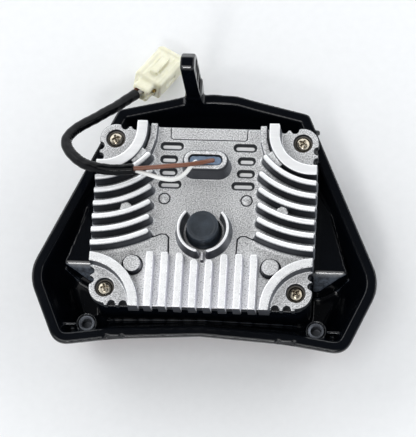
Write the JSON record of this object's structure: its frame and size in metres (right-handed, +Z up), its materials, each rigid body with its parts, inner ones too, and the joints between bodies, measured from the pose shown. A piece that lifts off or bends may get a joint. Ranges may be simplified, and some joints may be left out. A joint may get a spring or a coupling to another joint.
{
  "type": "motorcycle tail light",
  "caption": "LED tail light for a motorcycle, lying on its lens: black tray housing, cast heat sink with curved fins, rubber breather plug and a sleeved lead with a connector.",
  "frame": {"origin": "middle of the lamp's own footprint, at the height of the bench that the lens rests on", "axes": "+Z up from the lens to the heat sink, +Y towards the upright mounting tab, +X to the right with the tab at the far edge"},
  "size_m": [0.1608, 0.1603, 0.075],
  "materials": {
    "abs_black": "moulded, satin to gloss",
    "lens_red": "clear red, polished",
    "seal_rubber": "matte",
    "reflector_chrome": "vacuum metallised, mirror",
    "board_white": "white solder mask",
    "led_chip": "clear dome on a pale body",
    "screw_steel": "zinc plated, satin",
    "thermal_pad": "soft, matte",
    "cast_aluminium": "as cast, fine grain, machined fin tops",
    "plug_rubber": "moulded, matte",
    "potting_blue": "poured, satin",
    "wire_brown": "extruded, satin",
    "wire_white": "extruded, satin",
    "wire_black": "extruded, satin",
    "sleeve_black": "soft tube, satin with fine wrinkles",
    "nylon_cream": "natural nylon, translucent",
    "terminal_brass": "stamped, satin"
  },
  "bodies": {
    "root": {"housing": "abs_black", "lens": "lens_red", "lens_seal": "seal_rubber", "reflector": "reflector_chrome", "led_board": "board_white", "led_1": "led_chip", "led_2": "led_chip", "led_3": "led_chip", "led_4": "led_chip", "led_5": "led_chip", "led_6": "led_chip", "led_7": "led_chip", "led_8": "led_chip", "led_9": "led_chip", "led_10": "led_chip", "led_11": "led_chip", "led_12": "led_chip", "board_screw_1": "screw_steel", "board_screw_2": "screw_steel", "board_screw_3": "screw_steel", "board_screw_4": "screw_steel", "thermal_pad": "thermal_pad", "heat_sink": "cast_aluminium", "heat_sink_gasket": "seal_rubber", "heat_sink_screw_1": "screw_steel", "heat_sink_screw_2": "screw_steel", "heat_sink_screw_3": "screw_steel", "heat_sink_screw_4": "screw_steel", "wire_potting": "potting_blue", "mount_insert_right": "screw_steel", "mount_insert_left": "screw_steel", "brown_wire": "wire_brown", "white_wire": "wire_white", "black_wire": "wire_black", "wire_sleeve": "sleeve_black", "connector_housing": "nylon_cream", "terminal_1": "terminal_brass", "terminal_2": "terminal_brass", "terminal_3": "terminal_brass"},
    "plug": {"breather_plug": "plug_rubber"}
  },
  "joints": [
    {"name": "plug_lift", "type": "slide", "parent": "root", "child": "plug", "axis": [0, 0, 1], "range_m": [0, 0.012]}
  ]
}
